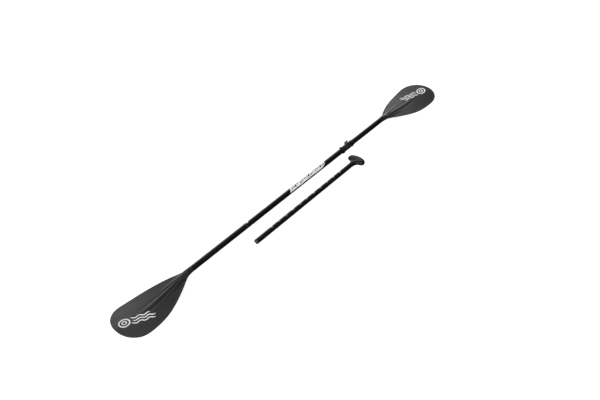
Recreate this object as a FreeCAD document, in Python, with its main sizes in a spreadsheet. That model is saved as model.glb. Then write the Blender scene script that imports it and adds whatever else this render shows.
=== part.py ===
import FreeCAD, Part
import math
import os
import re

# Convertible double-bladed paddle: a three-section kayak shaft lying flat, and the T-handle
# section that replaces one blade when the paddle is used standing up.
# +X runs along the shaft towards the far blade, +Z is the side the blade faces look to.
# The origin is the middle of the shaft, on its axis. Millimetres.

doc = FreeCAD.newDocument("convertible_paddle")

DIMENSIONS = [
    ("shaft_radius", 14.5, "outside radius of the three shaft tubes"),
    ("shaft_bore", 13.3, "inside radius of the three shaft tubes"),
    ("inner_radius", 13.0, "outside radius of spigots and handle tube"),
    ("inner_bore", 11.8, "inside radius of spigots and handle tube"),
    ("glue_gap", 0.1, "radial gap of a bonded or pushed-in piece"),
    ("half_length", 1121.0, "shaft middle to blade tip"),
    ("blade_length", 425.0, "tube end to blade tip"),
    ("blade_width", 230.0, "widest part of the blade"),
    ("blade_plate", 4.0, "thickness of the blade plate"),
    ("blade_slope", 0.165, "fall of the blade per unit length behind the neck"),
    ("blade_straight", 167.0, "neck and straight part of the blade's side view"),
    ("blade_neck", 17.0, "round neck before the blade starts to widen"),
    ("blade_scoop", 570.0, "radius of the curve that lifts the tip"),
    ("stub_length", 50.0, "plug of a moulded part inside its tube"),
    ("near_joint", -350.0, "end of the middle tube on the near side"),
    ("spigot_reach", 110.0, "length of a spigot inside the middle tube"),
    ("spigot_hold", 90.0, "length of a spigot inside its own tube"),
    ("button_place", -336.0, "middle of the snap button"),
    ("button_radius", 4.0, "snap button"),
    ("button_top", 16.5, "height of the snap button over the shaft axis"),
    ("button_hole", 4.4, "hole for the snap button"),
    ("collar_start", 362.0, "clamp collar, near side"),
    ("collar_seat", 440.0, "end of the middle tube inside the collar"),
    ("collar_end", 452.0, "clamp collar, far side"),
    ("flange_radius", 20.0, "collar flange"),
    ("barrel_radius", 17.0, "collar barrel"),
    ("ring_radius", 18.0, "collar ring before the cone"),
    ("slit_start", 380.0, "start of the collar's slit"),
    ("slit_width", 3.0, "collar slit"),
    ("clamp_place", 419.0, "middle of the lever, ears, bolt and index pin"),
    ("lever_width", 20.0, "clamp lever along the shaft"),
    ("ear_height", 8.0, "half height of the two clamp ears"),
    ("ear_reach", 24.0, "outer face of the clamp ears"),
    ("pivot_out", 18.5, "lever pivot, sideways from the shaft axis"),
    ("pivot_up", 14.0, "lever pivot, above the shaft axis"),
    ("pivot_radius", 3.5, "lever pivot pin"),
    ("bolt_radius", 2.0, "clamp bolt"),
    ("washer_radius", 5.0, "clamp washer"),
    ("washer_thickness", 1.0, "clamp washer"),
    ("eye_radius", 5.5, "round eye of the lever"),
    ("lever_inside", 17.6, "inside radius of the lever's arm"),
    ("lever_outside", 20.4, "outside radius of the lever's arm"),
    ("pin_radius", 2.5, "index pin"),
    ("pin_hole", 4.5, "hole for the index pin in collar and tube"),
    ("keyway_width", 7.5, "slot in the far spigot that passes the index pin"),
    ("label_start", -46.0, "shaft label"),
    ("label_length", 270.0, "shaft label"),
    ("label_angle", 164.0, "degrees of the tube that the label covers"),
    ("handle_side", -101.5, "handle section beside the shaft"),
    ("handle_height", -22.0, "handle section's axis on the ground"),
    ("handle_start", -380.0, "open end of the handle tube"),
    ("handle_length", 692.0, "handle tube"),
    ("hole_first", 106.0, "first index hole from the tube's end"),
    ("hole_pitch", 50.0, "between index holes"),
    ("hole_count", 11.0, "index holes"),
    ("hole_radius", 3.5, "index hole"),
    ("grip_width", 104.0, "across the palm grip"),
]

sheet = doc.addObject("Spreadsheet::Sheet", "dims")
for row, (alias, value, note) in enumerate(DIMENSIONS, 1):
    sheet.set(f"A{row}", note)
    sheet.set(f"B{row}", str(value))
    sheet.setAlias(f"B{row}", alias)
doc.recompute()
SIZE = {alias: float(sheet.get(alias)) for alias, value, note in DIMENSIONS}

AXIS_TURN = {
    "x": FreeCAD.Rotation(FreeCAD.Vector(0, 1, 0), 90),
    "z": FreeCAD.Rotation(),
}


def bind(item, prop, words):
    """Binds a property to the sheet: each alias in words becomes a cell of the sheet."""
    text = re.sub(r"[a-z]+_[a-z]+", lambda found: "dims." + found.group(0), str(words))
    item.setExpression(prop, text)


def place(item, x="0", y="0", z="0", turn=None):
    if turn is not None:
        item.Placement = FreeCAD.Placement(FreeCAD.Vector(), turn)
    for letter, words in (("x", x), ("y", y), ("z", z)):
        bind(item, "Placement.Base." + letter, words)
    return item


def rod(name, radius, length, x, y="0", z="0", axis="x"):
    """A plain cylinder along +X or +Z from the point x, y, z."""
    item = doc.addObject("Part::Cylinder", name)
    bind(item, "Radius", radius)
    bind(item, "Height", length)
    return place(item, x, y, z, AXIS_TURN[axis])


def block(name, size, corner):
    item = doc.addObject("Part::Box", name)
    for prop, words in zip(("Length", "Width", "Height"), size):
        bind(item, prop, words)
    return place(item, *corner)


def boolean(kind, name, base, tool):
    item = doc.addObject("Part::" + kind, name)
    item.Base = base
    item.Tool = tool
    return item


def tube(name, outside, inside, start, length):
    """A straight tube along +X."""
    outer = rod(name + "_outer", outside, length, start)
    inner = rod(name + "_inner", inside, length, start)
    return boolean("Cut", name, outer, inner)


def drilled(name, base, *tools):
    """The base with each tool cut out in turn; the last cut carries the piece's name."""
    for step, tool in enumerate(tools):
        last = step == len(tools) - 1
        base = boolean("Cut", name if last else f"{name}_cut_{step + 1}", base, tool)
    return base


def new_body(name):
    return doc.addObject("PartDesign::Body", name)


def sketch_on(body, role, name, edges, offset=0.0):
    """A sketch on one of the body's own origin planes, moved along the plane's normal."""
    plane = next(item for item in body.Origin.OriginFeatures if item.Role == role)
    sketch = body.newObject("Sketcher::SketchObject", name)
    sketch.AttachmentSupport = [(plane, "")]
    sketch.MapMode = "FlatFace"
    sketch.AttachmentOffset = FreeCAD.Placement(
        FreeCAD.Vector(0, 0, offset), FreeCAD.Rotation()
    )
    sketch.addGeometry(edges, False)
    doc.recompute()
    return sketch


def feature(body, kind, name, profile, **settings):
    item = body.newObject("PartDesign::" + kind, name)
    item.Profile = profile
    for prop, value in settings.items():
        setattr(item, prop, value)
    return item


def pad(body, name, profile, length, both_ways=False, reverse=False, kind="Pad"):
    item = feature(body, kind, name, profile, Reversed=reverse)
    if both_ways:
        item.SideType = "Symmetric"
    bind(item, "Length", length)
    doc.recompute()
    return item


def cut_away(body, name, profile, length, both_ways=False, reverse=False):
    """A pocket that must take material away; it runs against the normal unless reversed."""
    before = body.Shape.Volume
    item = pad(body, name, profile, length, both_ways, reverse, kind="Pocket")
    if body.Shape.Volume > before - 0.5:
        raise RuntimeError(name + " cuts nothing")
    return item


def turned(body, name, corners, axis="H_Axis"):
    """A solid of revolution: corners are along the axis and out from it, in the XZ plane."""
    sketch = sketch_on(body, "XZ_Plane", name + "_profile", polygon(corners))
    return feature(body, "Revolution", name, sketch, ReferenceAxis=(sketch, [axis]), Angle=360)


def point(a, b):
    return FreeCAD.Vector(a, b, 0)


def polygon(corners):
    ends = corners[1:] + corners[:1]
    return [Part.LineSegment(point(*a), point(*b)) for a, b in zip(corners, ends)]


def circle(a, b, radius):
    return Part.Circle(point(a, b), FreeCAD.Vector(0, 0, 1), radius)


def arc(centre, radius, first, last):
    """An arc from the first to the last angle in degrees, counted from the first sketch axis."""
    whole = Part.Circle(point(*centre), FreeCAD.Vector(0, 0, 1), radius)
    return Part.ArcOfCircle(whole, math.radians(first), math.radians(last))


def polar(radius, degrees):
    return radius * math.cos(math.radians(degrees)), radius * math.sin(math.radians(degrees))


def oval(a, b, half_a, half_b):
    """A full ellipse with its longer half along the first sketch axis."""
    return Part.Ellipse(
        point(a + half_a, b), point(a, b + half_b), point(a, b)
    )


# ---------------------------------------------------------------- middle section
def middle_tube():
    hollow = tube(
        "middle_stock", "shaft_radius", "shaft_bore", "near_joint", "collar_seat - near_joint"
    )
    button_hole = rod(
        "middle_button_hole", "button_hole", "shaft_radius + 1", "button_place", axis="z"
    )
    pin_hole = rod("middle_pin_hole", "pin_hole", "shaft_radius + 1", "clamp_place", axis="z")
    slit = block(
        "middle_slit",
        ("collar_seat - slit_start", "shaft_radius + 1", "slit_width - 1"),
        ("slit_start", "0", "(1 - slit_width) / 2"),
    )
    return drilled("middle_tube", hollow, button_hole, pin_hole, slit)


def shaft_label():
    """A vinyl label that covers the top of the tube, both sides of +Z."""
    outer = rod("label_outer", "shaft_radius + 0.2", "label_length", "label_start")
    # The wedge starts at one side of the tube and is turned so that its middle is at +Z.
    bind(outer, "Angle", "label_angle")
    about_shaft = FreeCAD.Rotation(FreeCAD.Vector(1, 0, 0), 180 - SIZE["label_angle"] / 2)
    place(outer, "label_start", turn=about_shaft * AXIS_TURN["x"])
    inner = rod("label_inner", "shaft_radius + 0.02", "label_length", "label_start")
    return boolean("Cut", "shaft_label", outer, inner)


def clamp_collar():
    """Split collar: flange, barrel, ring and cone, with two ears on the +Y side."""
    body = new_body("clamp_collar")
    bore = SIZE["shaft_radius"] + SIZE["glue_gap"]
    lip = SIZE["shaft_bore"] + SIZE["glue_gap"]
    start, seat, end = SIZE["collar_start"], SIZE["collar_seat"], SIZE["collar_end"]
    flange_end, ring_start, ring_end = start + 6, seat - 10, seat
    profile = [
        (start, bore),
        (start, SIZE["flange_radius"]),
        (flange_end, SIZE["flange_radius"]),
        (flange_end, SIZE["barrel_radius"]),
        (ring_start, SIZE["barrel_radius"]),
        (ring_start, SIZE["ring_radius"]),
        (ring_end, SIZE["ring_radius"]),
        (end, SIZE["shaft_radius"] + 0.5),
        (end, lip),
        (seat, lip),
        (seat, bore),
    ]
    turned(body, "collar_ring", profile)

    middle, half = SIZE["clamp_place"], SIZE["lever_width"] / 2
    root = bore - 2
    ears = sketch_on(
        body,
        "XY_Plane",
        "ear_outline",
        polygon(
            [
                (middle - half, root),
                (middle + half, root),
                (middle + half, SIZE["ear_reach"]),
                (middle - half, SIZE["ear_reach"]),
            ]
        ),
    )
    pad(body, "ears", ears, "2 * ear_height", both_ways=True)
    bore_face = sketch_on(body, "YZ_Plane", "bore_face", [circle(0, 0, bore)], start)
    cut_away(body, "collar_bore", bore_face, "collar_seat - collar_start", reverse=True)

    slit = sketch_on(
        body,
        "XY_Plane",
        "slit_outline",
        polygon(
            [
                (SIZE["slit_start"], 0),
                (end + 1, 0),
                (end + 1, SIZE["ear_reach"] + 1),
                (SIZE["slit_start"], SIZE["ear_reach"] + 1),
            ]
        ),
    )
    cut_away(body, "slit", slit, "slit_width", both_ways=True)
    bolt_way = sketch_on(
        body,
        "XY_Plane",
        "bolt_way",
        [circle(middle, SIZE["pivot_out"], SIZE["bolt_radius"] + 0.3)],
    )
    cut_away(body, "bolt_hole", bolt_way, "4 * ear_height", both_ways=True)
    spot = sketch_on(
        body,
        "XY_Plane",
        "spot_face_outline",
        [circle(middle, SIZE["pivot_out"], SIZE["washer_radius"] + 0.4)],
        -SIZE["ear_height"],
    )
    cut_away(body, "spot_face", spot, "ear_height")
    pin_way = sketch_on(
        body, "XY_Plane", "pin_way", [circle(middle, 0, SIZE["pin_hole"])], bore - 4
    )
    cut_away(body, "index_hole", pin_way, "2 * ear_height", reverse=True)
    return body


def clamp_bolt():
    """Socket-head bolt from under the ears up into the lever's pivot pin."""
    body = new_body("clamp_bolt")
    shank, head = SIZE["bolt_radius"], 4.0
    seat = -SIZE["ear_height"] - SIZE["washer_thickness"]
    top = SIZE["pivot_up"] + SIZE["pivot_radius"] - 0.5
    socket, socket_depth = 1.5, 2.0
    bottom = seat - 4.0
    turned(
        body,
        "bolt",
        [
            (0, bottom + socket_depth),
            (socket, bottom + socket_depth),
            (socket, bottom),
            (head, bottom),
            (head, seat),
            (shank, seat),
            (shank, top),
            (0, top),
        ],
        axis="V_Axis",
    )
    return place(body, "clamp_place", "pivot_out")


def clamp_washer():
    body = new_body("clamp_washer")
    inside, outside = SIZE["bolt_radius"] + 0.2, SIZE["washer_radius"]
    low, high = -SIZE["ear_height"] - SIZE["washer_thickness"], -SIZE["ear_height"]
    turned(
        body,
        "washer",
        [(inside, low), (outside, low), (outside, high), (inside, high)],
        axis="V_Axis",
    )
    return place(body, "clamp_place", "pivot_out")


def lever_pivot_pin():
    """Cross pin that the lever turns on; the clamp bolt screws into its middle."""
    solid = rod(
        "pivot_rod",
        "pivot_radius",
        "lever_width + 3",
        "clamp_place - lever_width / 2 - 1.5",
        "pivot_out",
        "pivot_up",
    )
    thread = rod(
        "pivot_thread",
        "bolt_radius + 0.05",
        "3 * pivot_radius",
        "clamp_place",
        "pivot_out",
        "pivot_up - 2 * pivot_radius",
        axis="z",
    )
    return boolean("Cut", "lever_pivot_pin", solid, thread)


# ---------------------------------------------------------------- clamp lever
def clamp_lever():
    """Cam lever: a forked eye on the pivot pin and an arm that wraps over the collar."""
    body = new_body("clamp_lever")
    middle = SIZE["clamp_place"]
    inside, outside = SIZE["lever_inside"], SIZE["lever_outside"]
    pivot = (SIZE["pivot_out"], SIZE["pivot_up"])
    eye_side, free_side = 42.0, 168.0
    arm = [
        arc((0, 0), outside, eye_side, free_side),
        Part.LineSegment(point(*polar(outside, free_side)), point(*polar(inside, free_side))),
        arc((0, 0), inside, eye_side, free_side),
        Part.LineSegment(point(*polar(inside, eye_side)), point(*polar(outside, eye_side))),
    ]
    arm_face = sketch_on(body, "YZ_Plane", "arm_face", arm, middle)
    pad(body, "arm", arm_face, "lever_width", both_ways=True)
    eye_face = sketch_on(
        body, "YZ_Plane", "eye_face", [circle(*pivot, SIZE["eye_radius"])], middle
    )
    pad(body, "eye", eye_face, "lever_width", both_ways=True)
    bead = sketch_on(
        body, "YZ_Plane", "bead_face", [circle(*polar(outside - 0.4, free_side), 2.2)], middle
    )
    pad(body, "finger_bead", bead, "lever_width", both_ways=True)

    pin_face = sketch_on(
        body, "YZ_Plane", "pivot_face", [circle(*pivot, SIZE["pivot_radius"] + 0.06)], middle
    )
    cut_away(body, "pivot_hole", pin_face, "2 * lever_width", both_ways=True)
    fork_half = SIZE["bolt_radius"] + 1.0
    fork_in, fork_out = pivot[0] - SIZE["eye_radius"], pivot[0] + SIZE["eye_radius"] + 2.5
    fork = sketch_on(
        body,
        "XY_Plane",
        "fork_outline",
        polygon(
            [
                (middle - fork_half, fork_in),
                (middle + fork_half, fork_in),
                (middle + fork_half, fork_out),
                (middle - fork_half, fork_out),
            ]
        ),
        pivot[1] - 9,
    )
    cut_away(body, "fork_slot", fork, "eye_radius + 13", reverse=True)
    pin_seat = sketch_on(
        body, "XY_Plane", "pin_seat", [circle(middle, 0, SIZE["pin_radius"])], inside - 2
    )
    cut_away(body, "index_pin_hole", pin_seat, "lever_outside", reverse=True)
    return body


def index_pin():
    """Steel pin riveted through the lever; its tip enters the shaft holes."""
    body = new_body("index_pin")
    radius, tip, head = SIZE["pin_radius"], 1.8, 3.6
    bottom = SIZE["inner_bore"]
    turned(
        body,
        "pin",
        [
            (0, bottom),
            (tip, bottom),
            (radius, bottom + 1.5),
            (radius, SIZE["lever_outside"]),
            (head, SIZE["lever_outside"]),
            (head - 0.8, SIZE["lever_outside"] + 1.0),
            (0, SIZE["lever_outside"] + 1.0),
        ],
        axis="V_Axis",
    )
    return place(body, "clamp_place")


# ---------------------------------------------------------------- blade sections
def near_spigot():
    stock = tube(
        "near_spigot_stock",
        "inner_radius",
        "inner_bore",
        "near_joint - spigot_hold",
        "spigot_hold + spigot_reach",
    )
    hole = rod("spigot_button_hole", "button_hole", "shaft_radius", "button_place", axis="z")
    return drilled("near_spigot", stock, hole)


def far_spigot():
    """Spigot with a keyway, open at its inner end, that slides past the index pin."""
    stock = tube(
        "far_spigot_stock",
        "inner_radius",
        "inner_bore",
        "collar_end - spigot_reach",
        "spigot_hold + spigot_reach",
    )
    keyway = block(
        "spigot_keyway",
        ("clamp_place - collar_end + spigot_reach + keyway_width", "keyway_width", "shaft_radius"),
        ("collar_end - spigot_reach - 1", "-keyway_width / 2", "0"),
    )
    return drilled("far_spigot", stock, keyway)


def snap_button():
    """Steel button with its U-shaped leaf spring, inside the near spigot."""
    body = new_body("snap_button")
    top, bottom, leaf = 10.9, 10.1, 8.0
    tail, fold, foot = 4.0, -42.0, -4.0
    spring = [
        Part.LineSegment(point(tail, top), point(fold, top)),
        arc((fold, 0), top, 90, 270),
        Part.LineSegment(point(fold, -top), point(foot, -top)),
        Part.LineSegment(point(foot, -top), point(foot, -bottom)),
        Part.LineSegment(point(foot, -bottom), point(fold, -bottom)),
        arc((fold, 0), bottom, 90, 270),
        Part.LineSegment(point(fold, bottom), point(tail, bottom)),
        Part.LineSegment(point(tail, bottom), point(tail, top)),
    ]
    leaf_face = sketch_on(body, "XZ_Plane", "spring_side", spring)
    pad(body, "leaf_spring", leaf_face, str(leaf), both_ways=True)
    radius, height = SIZE["button_radius"], SIZE["button_top"]
    dome = sketch_on(
        body,
        "XZ_Plane",
        "button_profile",
        polygon(
            [
                (0, top - 0.5),
                (radius, top - 0.5),
                (radius, height - 1.2),
                (radius - 1.2, height - 0.2),
                (0, height),
            ]
        ),
    )
    feature(body, "Revolution", "button", dome, ReferenceAxis=(dome, ["V_Axis"]), Angle=360)
    return place(body, "button_place")


def plug(name, radius, length, start):
    """A foam float or rubber stopper: a plain disc of soft material inside a tube."""
    return rod(name, radius, length, start)


def blade_fall(x):
    """Height of the blade's mid surface: level neck, straight slope, then the scoop's arc."""
    slope, straight = SIZE["blade_slope"], SIZE["blade_straight"]
    if x <= straight:
        return -slope * max(0.0, x - SIZE["blade_neck"])
    beyond = x - straight
    return blade_fall(straight) - slope * beyond + beyond**2 / (2 * SIZE["blade_scoop"])


def blade_band():
    """Side view of the plate: the mid surface with half the thickness above and below."""
    half, length = SIZE["blade_plate"] / 2, SIZE["blade_length"]
    straight = SIZE["blade_straight"]
    bend = [straight, (straight + length) / 2, length]
    edges = []
    for lift in (half, -half):
        ends = [point(x, blade_fall(x) + lift) for x in (0, SIZE["blade_neck"], straight)]
        edges += [Part.LineSegment(ends[0], ends[1]), Part.LineSegment(ends[1], ends[2])]
        edges.append(Part.Arc(*[point(x, blade_fall(x) + lift) for x in bend]))
    for x in (0, length):
        low, high = blade_fall(x) - half, blade_fall(x) + half
        edges.append(Part.LineSegment(point(x, low), point(x, high)))
    return edges


# Outline of one side of the blade: distance from the tube, then half width.
OUTLINE = [
    (0, 14.5),
    (20, 17.5),
    (74, 42.5),
    (139, 75),
    (213, 101.5),
    (303, 115),
    (364, 110),
    (406, 73.5),
    (425, 0),
]


def blade_outline():
    """The plan view inside a larger rectangle, so that a pocket leaves the blade standing."""
    length, width = SIZE["blade_length"], SIZE["blade_width"]
    scale = width / (2 * max(half for x, half in OUTLINE))
    side = [point(x, half * scale) for x, half in OUTLINE]
    whole = side + [point(p.x, -p.y) for p in reversed(side[:-1])]
    curve = Part.BSplineCurve()
    curve.interpolate(whole)
    closing = Part.LineSegment(whole[-1], whole[0])
    margin = 20.0
    frame = polygon(
        [
            (-margin, -width),
            (length + margin, -width),
            (length + margin, width),
            (-margin, width),
        ]
    )
    return [curve, closing] + frame


# Central rib of the blade: distance from the tube, half width, half height.
RIB = [
    (0, 14.5, 14.4),
    (17, 14.5, 14.3),
    (60, 17.5, 10.0),
    (110, 19.5, 7.4),
    (170, 17.0, 5.0),
    (250, 9.0, 2.6),
]


def blade(name, joint, turn):
    """Moulded blade: a scooped plate with a tapering rib, and a plug inside its tube."""
    body = new_body(name)
    side = sketch_on(body, "XZ_Plane", name + "_side", blade_band())
    pad(body, name + "_plate", side, "blade_width + 10", both_ways=True)
    plan = sketch_on(body, "XY_Plane", name + "_plan", blade_outline())
    cut_away(body, name + "_edge", plan, "blade_width", both_ways=True)
    stations = [
        sketch_on(
            body,
            "YZ_Plane",
            f"{name}_rib_{step}",
            [oval(0, blade_fall(x), half_width, half_height)],
            x,
        )
        for step, (x, half_width, half_height) in enumerate(RIB)
    ]
    feature(
        body, "AdditiveLoft", name + "_rib", stations[0], Sections=stations[1:], Ruled=True
    )
    stub_radius = SIZE["shaft_bore"] - SIZE["glue_gap"]
    stub_face = sketch_on(body, "YZ_Plane", name + "_stub_face", [circle(0, 0, stub_radius)])
    pad(body, name + "_stub", stub_face, "stub_length", reverse=True)
    return place(body, joint, turn=turn)


# ---------------------------------------------------------------- handle section
def handle_tube():
    """Telescopic handle tube with a row of index holes in its upper wall."""
    body = new_body("handle_tube")
    ring = [circle(0, 0, SIZE["inner_radius"]), circle(0, 0, SIZE["inner_bore"])]
    section = sketch_on(body, "YZ_Plane", "handle_section", ring)
    pad(body, "handle_stock", section, "handle_length")
    start = sketch_on(
        body, "XY_Plane", "hole_outline", [circle(SIZE["hole_first"], 0, SIZE["hole_radius"])]
    )
    hole = cut_away(body, "index_hole_first", start, "shaft_radius", reverse=True)
    row = body.newObject("PartDesign::LinearPattern", "index_holes")
    row.Originals = [hole]
    row.Direction = (start, ["H_Axis"])
    bind(row, "Length", "hole_pitch * (hole_count - 1)")
    bind(row, "Occurrences", "hole_count")
    body.Tip = row
    doc.recompute()
    return place(body, "handle_start", "handle_side", "handle_height")


def handle_end_plug():
    """Rounded cap with a shallow dish, pushed into the open end of the handle tube."""
    body = new_body("handle_end_plug")
    inside = SIZE["inner_bore"] - SIZE["glue_gap"]
    outside = SIZE["inner_radius"]
    turned(
        body,
        "plug",
        [
            (22, 0),
            (22, inside),
            (0, inside),
            (0, outside),
            (-2, outside),
            (-4, outside - 1.5),
            (-4.5, outside - 4),
            (-2.5, 0),
        ],
    )
    return place(body, "handle_start", "handle_side", "handle_height")


# Palm grip across the handle: distance from the middle, centre, half depth, half height.
GRIP_BAR = [
    (-1.0, 45, 6.0, 3.5),
    (-0.94, 45, 12.0, 7.5),
    (-0.82, 46, 16.5, 10.5),
    (-0.5, 51, 19.5, 12.3),
    (0, 55, 20.5, 13.0),
]
# Neck of the grip: distance from the tube, half width, half height.
GRIP_NECK = [(0, 13.0, 12.9), (10, 14.0, 12.9), (24, 19.5, 12.7), (40, 31.0, 12.0)]


def handle_grip():
    """T-shaped palm grip: a tapering bar, a flared neck, and a plug inside the tube."""
    body = new_body("handle_grip")
    half = SIZE["grip_width"] / 2
    one_side = [(part * half, centre, deep, tall) for part, centre, deep, tall in GRIP_BAR]
    bar = one_side + [(-y, centre, deep, tall) for y, centre, deep, tall in one_side[-2::-1]]
    # The sketch's normal is -Y, so the offset has the opposite sign to y.
    stations = [
        sketch_on(body, "XZ_Plane", f"bar_{step}", [oval(centre, 0, deep, tall)], -y)
        for step, (y, centre, deep, tall) in enumerate(bar)
    ]
    feature(body, "AdditiveLoft", "grip_bar", stations[0], Sections=stations[1:], Ruled=True)
    neck = [
        sketch_on(body, "YZ_Plane", f"neck_{step}", [oval(0, 0, wide, tall)], x)
        for step, (x, wide, tall) in enumerate(GRIP_NECK)
    ]
    feature(body, "AdditiveLoft", "grip_neck", neck[0], Sections=neck[1:], Ruled=True)
    stub_radius = SIZE["inner_bore"] - SIZE["glue_gap"]
    stub = sketch_on(body, "YZ_Plane", "grip_stub_face", [circle(0, 0, stub_radius)])
    pad(body, "grip_stub", stub, "stub_length", reverse=True)
    return place(body, "handle_start + handle_length", "handle_side", "handle_height")


FACING_BACK = FreeCAD.Rotation(FreeCAD.Vector(0, 0, 1), 180)
pieces = [
    middle_tube(),
    shaft_label(),
    clamp_collar(),
    clamp_bolt(),
    clamp_washer(),
    lever_pivot_pin(),
    clamp_lever(),
    index_pin(),
    blade("near_blade", "blade_length - half_length", FACING_BACK),
    tube(
        "near_tube",
        "shaft_radius",
        "shaft_bore",
        "blade_length - half_length",
        "half_length - blade_length + near_joint",
    ),
    near_spigot(),
    snap_button(),
    plug(
        "near_spigot_stopper",
        "inner_bore - glue_gap",
        "15",
        "near_joint + spigot_reach - 15",
    ),
    plug(
        "near_float_plug",
        "shaft_bore - glue_gap",
        "55",
        "blade_length - half_length + stub_length + 5",
    ),
    blade("far_blade", "half_length - blade_length", FreeCAD.Rotation()),
    tube(
        "far_tube",
        "shaft_radius",
        "shaft_bore",
        "collar_end",
        "half_length - blade_length - collar_end",
    ),
    far_spigot(),
    plug("far_spigot_stopper", "inner_bore - glue_gap", "15", "collar_end - spigot_reach"),
    plug(
        "far_float_plug",
        "shaft_bore - glue_gap",
        "55",
        "half_length - blade_length - stub_length - 60",
    ),
    handle_tube(),
    handle_end_plug(),
    handle_grip(),
]
doc.recompute()

for item in doc.Objects:
    if {"Invalid", "Error"} & set(item.State):
        raise RuntimeError(f"{item.Name} failed: {item.State}")

os.makedirs("parts", exist_ok=True)
for piece in pieces:
    shape = piece.Shape
    if shape.isNull() or not shape.isValid() or not shape.Solids:
        raise RuntimeError(piece.Name + " has no valid solid")
    piece.Label = piece.Name
    shape.exportStep(f"parts/{piece.Label}.step")
    box = shape.BoundBox
    print(
        f"{piece.Label}: {len(shape.Solids)} solid, {shape.Volume / 1000:.2f} cm3, "
        f"x {box.XMin:.1f}..{box.XMax:.1f}  y {box.YMin:.1f}..{box.YMax:.1f}  "
        f"z {box.ZMin:.1f}..{box.ZMax:.1f}"
    )
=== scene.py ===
import math

import bmesh
import bpy
import numpy as np
from mathutils import Matrix, Vector


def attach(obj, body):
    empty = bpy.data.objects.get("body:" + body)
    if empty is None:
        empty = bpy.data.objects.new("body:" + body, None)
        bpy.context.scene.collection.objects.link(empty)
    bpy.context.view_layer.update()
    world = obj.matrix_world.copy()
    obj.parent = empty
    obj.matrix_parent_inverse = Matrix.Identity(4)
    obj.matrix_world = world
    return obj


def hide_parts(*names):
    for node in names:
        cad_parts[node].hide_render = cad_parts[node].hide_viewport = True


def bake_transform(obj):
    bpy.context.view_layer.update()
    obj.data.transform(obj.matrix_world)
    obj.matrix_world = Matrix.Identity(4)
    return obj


# Convertible double-bladed paddle with its loose T-handle section. Lengths in the shape functions
# are millimetres: +X runs along the shaft to the far blade, +Z is up out of the blade faces.
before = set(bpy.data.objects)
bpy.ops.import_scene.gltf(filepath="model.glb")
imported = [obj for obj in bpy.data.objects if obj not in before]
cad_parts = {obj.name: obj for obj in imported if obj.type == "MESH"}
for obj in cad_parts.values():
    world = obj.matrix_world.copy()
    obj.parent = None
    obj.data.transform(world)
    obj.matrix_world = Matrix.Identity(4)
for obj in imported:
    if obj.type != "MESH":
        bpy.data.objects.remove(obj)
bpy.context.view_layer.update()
MM = 0.001

SHAFT_RADIUS, SHAFT_WALL = 14.5, 1.2
INNER_RADIUS, INNER_WALL = 13.0, 1.2
HANDLE_AXIS = (0.0, -101.5, -22.0)
FLOOR_HEIGHT = -35.0


# ---------------------------------------------------------------- mesh helpers
def grid_faces(rows, columns, closed=False):
    """Quads of a grid numbered row by row; closed joins the last column to the first."""
    row, column = np.meshgrid(
        np.arange(rows - 1), np.arange(columns if closed else columns - 1), indexing="ij"
    )
    here, beside = row * columns + column, row * columns + (column + 1) % columns
    return np.stack([here, beside, beside + columns, here + columns], -1).reshape(-1, 4)


def clean_shell(points, faces, open_sheet=False):
    """A bmesh of one shell in metres: doubles merged, loose edges gone, faces turned outwards."""
    shell = bmesh.new()
    mesh = bpy.data.meshes.new("shell")
    mesh.from_pydata((np.asarray(points, float) * MM).tolist(), [], [list(f) for f in faces])
    shell.from_mesh(mesh)
    bpy.data.meshes.remove(mesh)
    bmesh.ops.remove_doubles(shell, verts=shell.verts, dist=2e-6)
    loose = [edge for edge in shell.edges if not edge.link_faces]
    bmesh.ops.delete(shell, geom=loose, context="EDGES")
    if not open_sheet:
        bmesh.ops.recalc_face_normals(shell, faces=shell.faces)
    return shell


def add_piece(name, shells, body, finish, stands_for=(), crease=38.0, open_sheet=False):
    """One object from a list of (points, faces) shells, riding on a body of the frame if one is
    given."""
    mesh = bpy.data.meshes.new(name)
    whole = bmesh.new()
    for points, faces in shells:
        part = clean_shell(points, faces, open_sheet)
        part_mesh = bpy.data.meshes.new("part")
        part.to_mesh(part_mesh)
        part.free()
        whole.from_mesh(part_mesh)
        bpy.data.meshes.remove(part_mesh)
    whole.to_mesh(mesh)
    whole.free()
    mesh.shade_smooth()
    mesh.set_sharp_from_angle(angle=math.radians(crease))
    piece = bpy.data.objects.new(name, mesh)
    bpy.context.scene.collection.objects.link(piece)
    for material in finish if isinstance(finish, (list, tuple)) else [finish]:
        mesh.materials.append(material)
    if body:
        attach(piece, body)
    if stands_for:
        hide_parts(*stands_for)
    return piece


def rounded(corners, radius, steps=5):
    """Closed outline whose corners are arcs: each arc touches both sides, its centre lies on the
    corner's bisector, and its points turn evenly from one side to the other."""
    corner = np.asarray(corners, float)
    radius = np.broadcast_to(np.asarray(radius, float), len(corner))
    back, ahead = np.roll(corner, 1, 0) - corner, np.roll(corner, -1, 0) - corner
    back_length, ahead_length = np.linalg.norm(back, axis=1), np.linalg.norm(ahead, axis=1)
    back, ahead = back / back_length[:, None], ahead / ahead_length[:, None]
    half = 0.5 * np.arccos(np.clip((back * ahead).sum(1), -1, 0.9999))
    reach = np.minimum(radius / np.tan(half), 0.48 * np.minimum(back_length, ahead_length))
    middle = back + ahead
    middle /= np.maximum(np.linalg.norm(middle, axis=1), 1e-9)[:, None]
    centre = corner + middle * (reach / np.cos(half))[:, None]
    turn = np.maximum(math.pi - 2 * half, 1e-6)
    share = np.linspace(0, 1, steps)[None, :, None]
    sweep = turn[:, None, None]
    first, last = corner + back * reach[:, None] - centre, corner + ahead * reach[:, None] - centre
    arc = np.sin((1 - share) * sweep) * first[:, None] + np.sin(share * sweep) * last[:, None]
    return (centre[:, None] + arc / np.sin(sweep)).reshape(-1, 2)


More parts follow.
